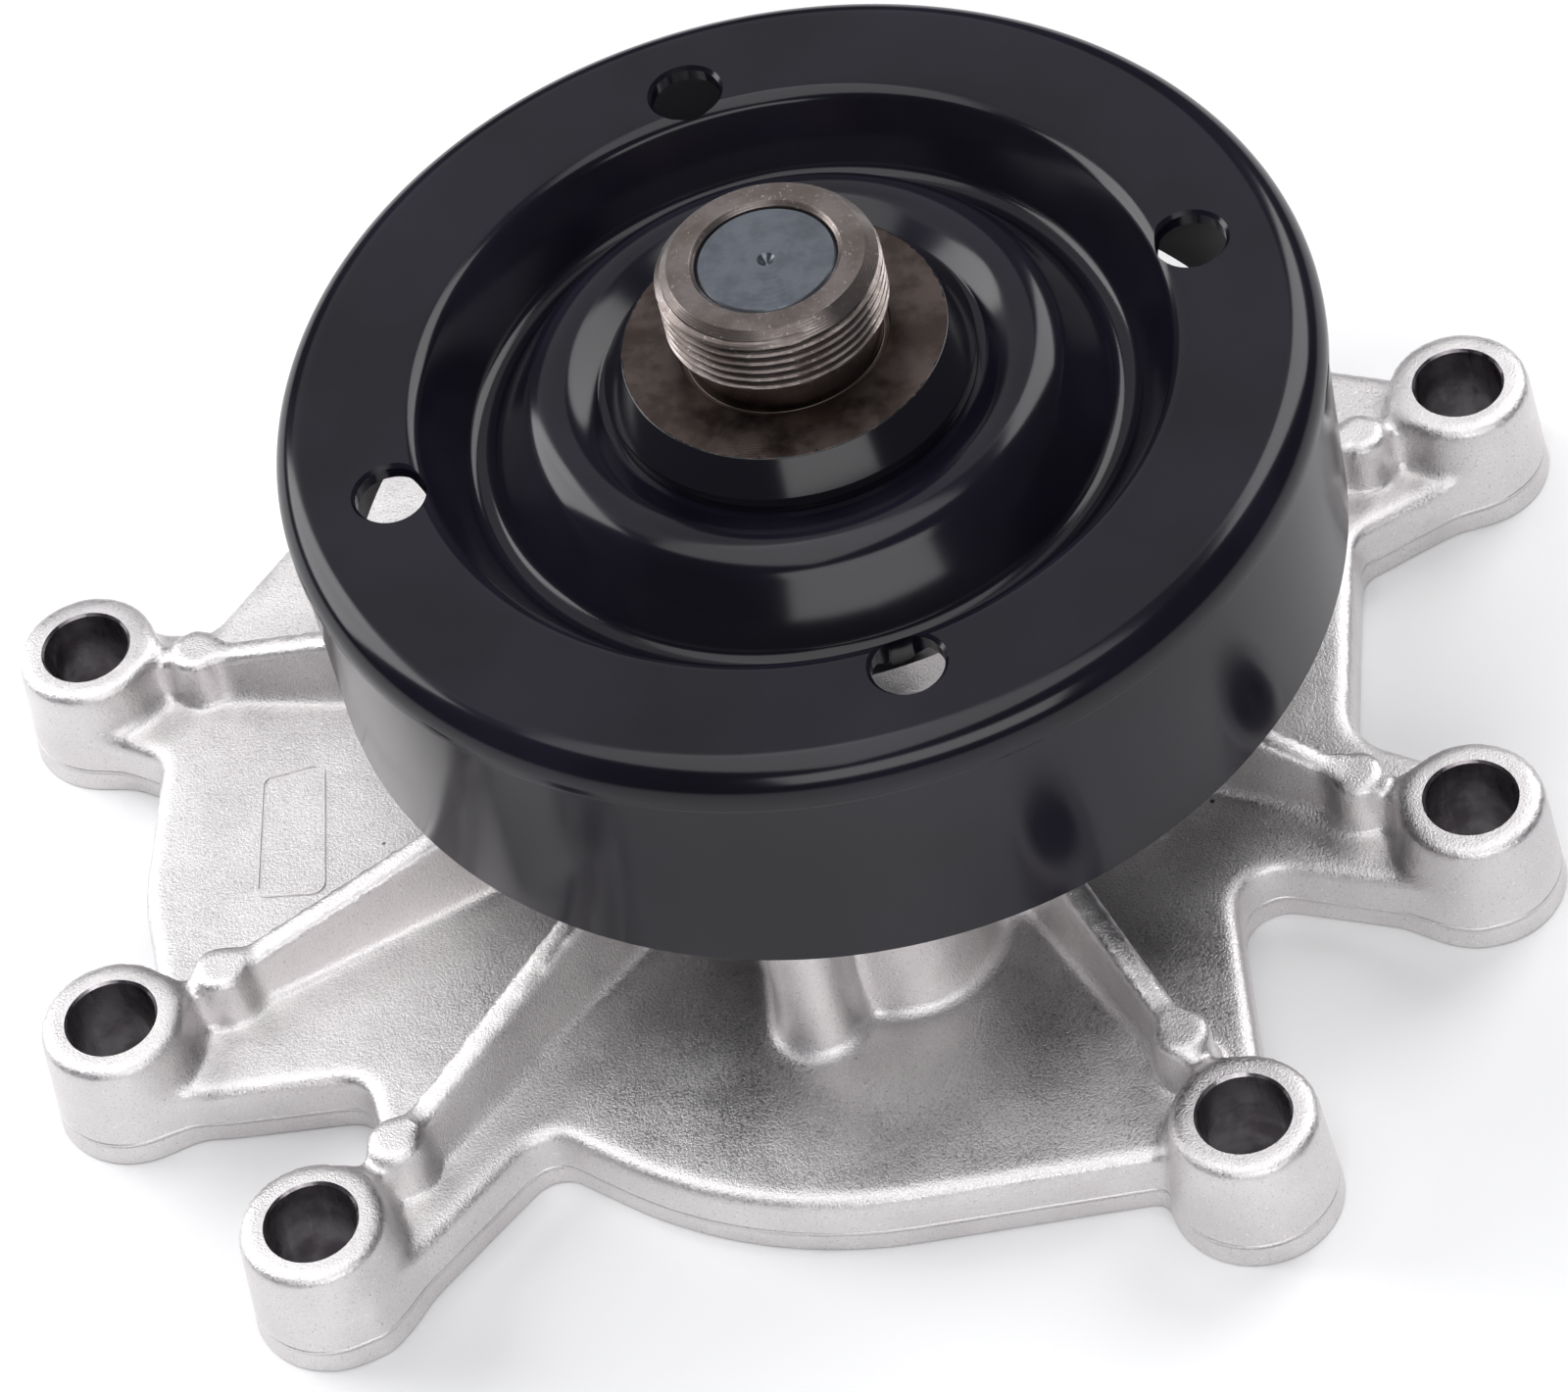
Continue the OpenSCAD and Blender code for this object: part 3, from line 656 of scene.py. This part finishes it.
def lathe(profile, segments, radius_at=None):
    """Points and quads of a closed [r, z] profile turned round the Z axis."""
    profile = np.asarray(profile, float)
    turn = np.arange(segments) * 2 * pi / segments
    r = np.repeat(profile[None, :, 0], segments, 0)
    z = np.repeat(profile[None, :, 1], segments, 0)
    if radius_at is not None:
        r = radius_at(turn[:, None], r, z)
    points = np.stack([r * np.cos(turn)[:, None], r * np.sin(turn)[:, None], z], 2)
    n = len(profile)
    i, j = np.meshgrid(np.arange(segments), np.arange(n), indexing="ij")
    a, b = i * n + j, i * n + (j + 1) % n
    c, d = ((i + 1) % segments) * n + (j + 1) % n, ((i + 1) % segments) * n + j
    faces = np.stack([a, b, c, d], 2).reshape(-1, 4)
    return points.reshape(-1, 3), faces[:, ::-1]


def turned(name, profile, segments, materials, radius_at=None):
    """A lathe object. Where the profile touches the axis, its points are joined."""
    points, faces = lathe(profile, segments, radius_at)
    made = mesh_object(name, points, faces, materials)
    clean(made)
    return made


def clean(made):
    """Joins points that coincide, drops faces with no area and turns faces outwards."""
    mesh = bmesh.new()
    mesh.from_mesh(made.data)
    bmesh.ops.remove_doubles(mesh, verts=mesh.verts, dist=1e-6)
    bmesh.ops.dissolve_degenerate(mesh, edges=mesh.edges, dist=1e-7)
    bmesh.ops.recalc_face_normals(mesh, faces=mesh.faces)
    mesh.to_mesh(made.data)
    mesh.free()


def cut(target, cutter, operation="DIFFERENCE"):
    """Takes the cutter out of the target, whose new faces keep the cutter's material."""
    for material in cutter.data.materials:
        if material.name not in target.data.materials:
            target.data.materials.append(material)
    modifier = target.modifiers.new("cut", "BOOLEAN")
    modifier.operation, modifier.object = operation, cutter
    modifier.solver, modifier.material_mode = "MANIFOLD", "TRANSFER"
    with bpy.context.temp_override(object=target, active_object=target):
        bpy.ops.object.modifier_apply(modifier=modifier.name)
    bpy.data.objects.remove(cutter)


def sharpen(made, degrees, cast_slot=None):
    """Marks sharp edges: between materials, and past an angle off the cast skin."""
    mesh = bmesh.new()
    mesh.from_mesh(made.data)
    limit, seam_limit = radians(degrees), radians(20)
    for edge in mesh.edges:
        if len(edge.link_faces) != 2:
            continue
        a, b = edge.link_faces
        if a.material_index != b.material_index:
            edge.smooth = a.normal.angle(b.normal, 0) < seam_limit
        elif a.material_index != cast_slot:
            edge.smooth = a.normal.angle(b.normal, 0) < limit
    mesh.to_mesh(made.data)
    mesh.free()


# ---------------------------------------------------------------- housing


def keyhole(margin, n=64):
    """Outline of the impeller cavity with its discharge passage, grown by a margin."""
    r = CAVITY_R + margin
    x0, reach, w = PASSAGE[0], PASSAGE[1], PASSAGE[2] + margin
    right, left = (atan2(-(r * r - x * x) ** 0.5, x) for x in (x0 + w, x0 - w))
    round_part = np.linspace(right, left + 2 * pi, 2 * n)
    end = np.linspace(pi, 2 * pi, n)
    circle = np.stack([r * np.cos(round_part), r * np.sin(round_part)], 1)
    tip = np.stack([x0 + w * np.cos(end), -reach + w * np.sin(end)], 1)
    return np.concatenate([circle, tip])


def prism(name, outline, z0, z1, material, hole=None):
    """An upright prism, or a ring between two outlines with as many points."""
    n = len(outline)
    loops = [outline] if hole is None else [outline, hole]
    points = [(*p, z) for loop in loops for z in (z0, z1) for p in loop]
    i = np.arange(n)
    j = (i + 1) % n
    faces = [list(f) for f in np.stack([i, j, j + n, i + n], 1)]
    if hole is None:
        faces += [list(i[::-1]), list(i + n)]
    else:
        faces += [list(f) for f in np.stack([j, i, i + n, j + n], 1) + 2 * n]
        faces += [list(f) for f in np.stack([j, i, i + 2 * n, j + 2 * n], 1)]
        faces += [list(f) for f in np.stack([i, j, j + 2 * n, i + 2 * n], 1) + n]
    return mesh_object(name, points, faces, [material], smooth=False)


def cartouche(material):
    """A thin raised line round a blank field on the plate."""
    middle = rounded(CARTOUCHE, n=6)
    way = np.roll(middle, -1, axis=0) - np.roll(middle, 1, axis=0)
    way /= np.linalg.norm(way, axis=1)[:, None]
    out = np.stack([way[:, 1], -way[:, 0]], 1) * CARTOUCHE_W / 2
    return prism("cartouche", middle + out, PLATE_T - 0.6, PLATE_T + CARTOUCHE_H, material,
                 hole=middle - out)


def bolt_drill(centre, material):
    """Cuts one bolt hole with its bevelled mouth."""
    r = MOUNTS["bolt_hole_1"]["dims"]["r_mm"]
    over = 2.0
    profile = [(0, -over), (r, -over), (r, BOSS_H - HOLE_BEVEL),
               (r + HOLE_BEVEL + over, BOSS_H + over), (0, BOSS_H + over)]
    drill = turned("drill", profile, 72, [material])
    drill.data.transform(Matrix.Translation((*(centre * MM), 0)))
    return drill


def bore_cutter(material):
    """Cuts the seal's bore, the chamber over it and the bearing's bore in one piece."""
    ring_low, ring_high = span("bearing_outer_ring")
    ring_r = radius("bearing_outer_ring")
    in_cavity, top = 10, ring_high[2] + 5
    profile = [(0, in_cavity), (CASE_R, in_cavity), (CASE_R, CASE_TOP), (CHAMBER_R, CASE_TOP),
               (CHAMBER_R, ring_low[2]), (ring_r, ring_low[2]), (ring_r, top), (0, top)]
    return turned("bore", profile, 144, [material])


def weep_drill(material):
    """Cuts the hole that lets leaks out of the seal chamber."""
    length = 40
    profile = [(0, 0), (WEEP_R, 0), (WEEP_R, length), (0, length)]
    drill = turned("weep", profile, 24, [material])
    turn = Matrix.Rotation(radians(WEEP_TURN), 4, "Z") @ Matrix.Rotation(pi / 2, 4, "Y")
    drill.data.transform(Matrix.Translation((0, 0, WEEP_Z * MM)) @ turn)
    return drill


def housing():
    """The casting as one smooth skin, then machined like the real one."""
    points, quads = casting_field(GRID_STEP).surface()
    low, high = span("housing")
    points[:, :2] = np.clip(points[:, :2], low[:2] + 0.01, high[:2] - 0.01)
    points[:, 2] = np.minimum(points[:, 2], high[2])
    cast = cast_aluminium()
    made = mesh_object("pump_housing", points, quads, [cast])
    clean(made)
    cut(made, cartouche(cast), "UNION")
    faced, bored, drawn = machined_aluminium(), machined_aluminium(), hole_wall()
    wide = 200  # larger than the casting
    square = np.array([(-wide, -wide), (wide, -wide), (wide, wide), (-wide, wide)])
    cut(made, prism("facing", square, -20, 0, faced))
    for centre, _ in bosses():
        cut(made, bolt_drill(centre, drawn))
    cavity = turned("cavity", [(0, -2), (CAVITY_R, -2), (CAVITY_R, CAVITY_H), (0, CAVITY_H)],
                    180, [cast])
    cut(made, cavity)
    x0, reach, r = PASSAGE
    end = np.linspace(pi, 2 * pi, 40)
    tip = np.stack([x0 + r * np.cos(end), -reach + r * np.sin(end)], 1)
    outline = np.concatenate([tip, [(x0 + r, 0), (x0 - r, 0)]])
    cut(made, prism("passage", outline, -2, PASSAGE_H, cast))
    outer, inner = keyhole(GROOVE_IN + GROOVE_W), keyhole(GROOVE_IN)
    cut(made, prism("groove", outer, -2, GROOVE_H, bored, hole=inner))
    cut(made, bore_cutter(bored))
    cut(made, weep_drill(drawn))
    sharpen(made, 30, cast_slot=0)
    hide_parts("housing")
    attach(made, "housing")


# ---------------------------------------------------------------- pulley and hub


def beside(path, d):
    """A path moved sideways by d, to the right of its direction."""
    ahead = np.roll(path, -1, axis=0)
    behind = np.roll(path, 1, axis=0)
    ahead[-1], behind[0] = path[-1], path[0]
    way = ahead - behind
    way /= np.linalg.norm(way, axis=1)[:, None]
    return path + d * np.stack([way[:, 1], -way[:, 0]], 1)


SHEET_T = 2.2
BEAD_STEP, BEAD_H = 0.5, 4.1
# Where the web's wave turns, as distances out from the hub's flange
WAVE_TURNS = (1.1, 8.55, 18.75, 26.25)
SHOULDER_H, WAVE_DEPTH = 4, 11.6
HUB_SINK = 1.0
FIRST_HOLE_TURN = 11


def pulley():
    """The stamped sheet: its web, wave, edge bead and belt face, with the holes punched."""
    low, high = span("pulley")
    flange_r, r = radius("fan_hub"), radius("pulley") - BEAD_STEP
    web_z, rim_z = high[2], low[2]
    hub_z = web_z - HUB_SINK
    seat_r = low_radius("pulley")
    shoulder_foot, shoulder, valley, crest = (flange_r + out for out in WAVE_TURNS)
    path = rounded([
        (seat_r, hub_z, 0),
        (shoulder_foot, hub_z, 1.5),
        (shoulder, hub_z + SHOULDER_H, 6),
        (valley, web_z - WAVE_DEPTH, 2.5),
        (crest, web_z, 3),
        (r + BEAD_STEP, web_z, 5),
        (r + BEAD_STEP, web_z - BEAD_H - 2, 0.5),
        (r, web_z - BEAD_H - 2.5, 0.5),
        (r, rim_z, 0),
    ], n=14, closed=False)
    inner = beside(path, SHEET_T)
    inner[:, 0] = np.minimum(inner[:, 0], r - SHEET_T)
    inner[:, 1] = np.maximum(inner[:, 1], rim_z)
    profile = np.concatenate([path, inner[::-1]])
    made = turned("stamped_pulley", profile, 300, [black_enamel()])
    holes = MOUNTS["pulley_holes"]["dims"]
    ring, hole_r, count = holes["pcd_mm"] / 2, holes["hole_r_mm"], holes["count"]
    lip = 0.5
    for i in range(count):
        turn = radians(FIRST_HOLE_TURN + 360 * i / count)
        profile = [(0, -20), (hole_r, -20), (hole_r, web_z - lip), (hole_r + 3, web_z + 3 - lip),
                   (0, web_z + 3 - lip)]
        punch = turned("punch", profile, 64, [made.data.materials[0]])
        at = Vector((cos(turn), sin(turn), 0)) * ring * MM
        punch.data.transform(Matrix.Translation(at))
        cut(made, punch)
    sharpen(made, 38)
    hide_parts("pulley")
    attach(made, "rotor")


def low_radius(node):
    """Smallest distance from the shaft's axis to a node's mesh, in millimetres."""
    mesh = frame["nodes"][node].data
    co = np.empty(len(mesh.vertices) * 3)
    mesh.vertices.foreach_get("co", co)
    co = co.reshape(-1, 3)
    return float(np.hypot(co[:, 0], co[:, 1]).min()) / MM


THREAD_PITCH, THREAD_DEPTH, THREAD_RUN_IN = 1.5, 0.92, 0.4
# How much of each turn is flat, at the thread's crest and at its root
CREST_FLAT, ROOT_FLAT = 1 / 8, 1 / 4
ROWS_PER_TURN = 15
FLANGE_T, FLANGE_BEVEL_R, FLANGE_BEVEL_H = 6.9, 3.1, 4.5
SPIGOT_IN = 4.8
HUB_NECK_IN, HUB_NECK_H, HUB_CHAMFER = 1.8, 4.9, 1.9
RELIEF_OUT, RELIEF_H = 0.85, 0.5
PAINT_LAP = 0.15


def fan_hub():
    """The turned hub: its spigot, flange, undercut neck and helical thread."""
    low, high = span("fan_hub")
    thread = MOUNTS["fan_thread"]
    flange_r, bore_r = radius("fan_hub"), low_radius("fan_hub")
    thread_r, hub_top = thread["dims"]["r_mm"], high[2]
    spigot_r, foot = flange_r - SPIGOT_IN, low[2]
    hub_z = span("pulley")[1][2] - HUB_SINK
    flange_top = hub_z + FLANGE_T
    neck_r = thread_r - HUB_NECK_IN
    relief_r, relief_z = neck_r + RELIEF_OUT, flange_top - RELIEF_H
    thread_z = flange_top + HUB_NECK_H
    steps = np.arange(thread_z, hub_top - HUB_CHAMFER, THREAD_PITCH / ROWS_PER_TURN)
    crest = [(thread_r, z, 0) for z in steps[1:]]
    top = [(thread_r - t, hub_top - HUB_CHAMFER + t, 0)
           for t in np.linspace(0, HUB_CHAMFER, 19)]
    profile = rounded([
        (bore_r, foot, 0.3),
        (spigot_r, foot, 0.3),
        (spigot_r, hub_z, 0),
        (flange_r, hub_z, 0.3),
        (flange_r, flange_top - FLANGE_BEVEL_H, 0.4),
        (flange_r - FLANGE_BEVEL_R, flange_top, 0.35),
        (relief_r, flange_top, 0.15),
        (relief_r, relief_z, 0),
        (neck_r, relief_z, 0.2),
        (neck_r, thread_z, 0.5),
        (thread_r - THREAD_DEPTH, thread_z, 0),
        *crest, *top,
        (bore_r + 0.6, hub_top, 0.1),
        (bore_r, hub_top - 0.6, 0),
    ], n=5)

    def threaded(turn, r, z):
        """The radius at each point once the thread's helix is cut."""
        phase = (z / THREAD_PITCH - turn / (2 * pi)) % 1.0
        near_crest = np.abs(phase - 0.5) * 2
        flank = (1 - CREST_FLAT - near_crest) / (1 - CREST_FLAT - ROOT_FLAT)
        depth = np.clip(flank, 0, 1) * THREAD_DEPTH
        run_in = np.clip((z - thread_z) / THREAD_RUN_IN, 0, 1)
        bottom = thread_r - np.maximum(depth, THREAD_DEPTH * (1 - run_in))
        on_thread = (z >= thread_z - 0.01) & (r > neck_r + 0.4)
        return np.where(on_thread, np.minimum(r, bottom), r)

    steel = hub_steel(flange_r - FLANGE_BEVEL_R - PAINT_LAP, flange_top)
    made = turned("threaded_fan_hub", profile, 288, [steel], radius_at=threaded)
    sharpen(made, 28)
    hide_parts("fan_hub")
    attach(made, "rotor")


# ---------------------------------------------------------------- carried-over CAD nodes


def repaint(material, *nodes):
    """Gives CAD nodes a material."""
    for name in nodes:
        made = frame["nodes"][name]
        if not made.material_slots:
            made.data.materials.append(material)
        for slot in made.material_slots:
            slot.link = "OBJECT"
            slot.material = material


def soft_piece(node, name, material):
    """A copy of a soft seal piece with its own material, carried with the housing."""
    made = bpy.data.objects.new(name, frame["nodes"][node].data.copy())
    bpy.context.scene.collection.objects.link(made)
    made.data.materials.clear()
    made.data.materials.append(material)
    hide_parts(node)
    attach(made, "housing")
    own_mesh(made)


def inner_pieces():
    repaint(shaft_steel(), "pump_shaft")
    repaint(plain_steel("bearing_steel", (0.62, 0.63, 0.65), 0.14, 0.26),
            "bearing_outer_ring", "bearing_balls", "bearing_rollers")
    repaint(moulded("cage_polymer", (0.05, 0.045, 0.02), 0.4, 0.5), "ball_cage", "roller_cage")
    repaint(moulded("lip_rubber", (0.012, 0.012, 0.013), 0.5, 0.62),
            "bearing_seal_front", "bearing_seal_rear", "seal_seat_boot")
    rubber = moulded("bellows_rubber", (0.012, 0.012, 0.013), 0.5, 0.62)
    soft_piece("seal_bellows", "folding_bellows", rubber)
    repaint(moulded("gasket_rubber", (0.018, 0.019, 0.02), 0.52, 0.66), "mounting_seal")
    repaint(plain_steel("seal_brass", (0.72, 0.52, 0.22), 0.25, 0.4), "seal_case")
    repaint(plain_steel("seal_steel", (0.6, 0.6, 0.6), 0.2, 0.32), "seal_drive_band")
    wire = plain_steel("spring_steel", (0.6, 0.6, 0.6), 0.2, 0.32)
    soft_piece("seal_spring", "seal_coil_spring", wire)
    repaint(moulded("carbon", (0.022, 0.022, 0.024), 0.3, 0.42, 0.2, 0.004),
            "seal_carbon_ring")
    repaint(moulded("ceramic", (0.75, 0.72, 0.64), 0.2, 0.28, 0.4, 0.003), "seal_mating_ring")
    repaint(plain_steel("slinger_steel", (0.42, 0.41, 0.4), 0.3, 0.45), "slinger")
    repaint(impeller_cast(), "impeller")
    repaint(plain_steel("insert_steel", (0.5, 0.49, 0.48), 0.28, 0.42), "impeller_hub")


def impeller_cast():
    """Sand-cast iron of the impeller, darker and coarser than the die casting."""
    m = Material("impeller_cast", (0.2, 0.19, 0.185), 0.55, metallic=0.8)
    grain = m.noise(0.7, detail=4.0, roughness=0.65)
    rust = m.noise(9, detail=4.0)
    iron = m.mix(m.ramp(grain, 0.35, 0.7), (0.17, 0.165, 0.16), (0.30, 0.29, 0.285))
    m.colour(m.mix(m.ramp(rust, 0.58, 0.72, 0, 0.5), iron, (0.20, 0.10, 0.05)))
    m.rough(m.ramp(grain, 0.3, 0.7, 0.45, 0.65))
    m.bump((grain, 0.06))
    return m.made


# ---------------------------------------------------------------- the scene


bpy.context.scene.view_settings.view_transform = "Standard"
make_camera()
make_lights()
make_floor()
housing()
pulley()
fan_hub()
inner_pieces()
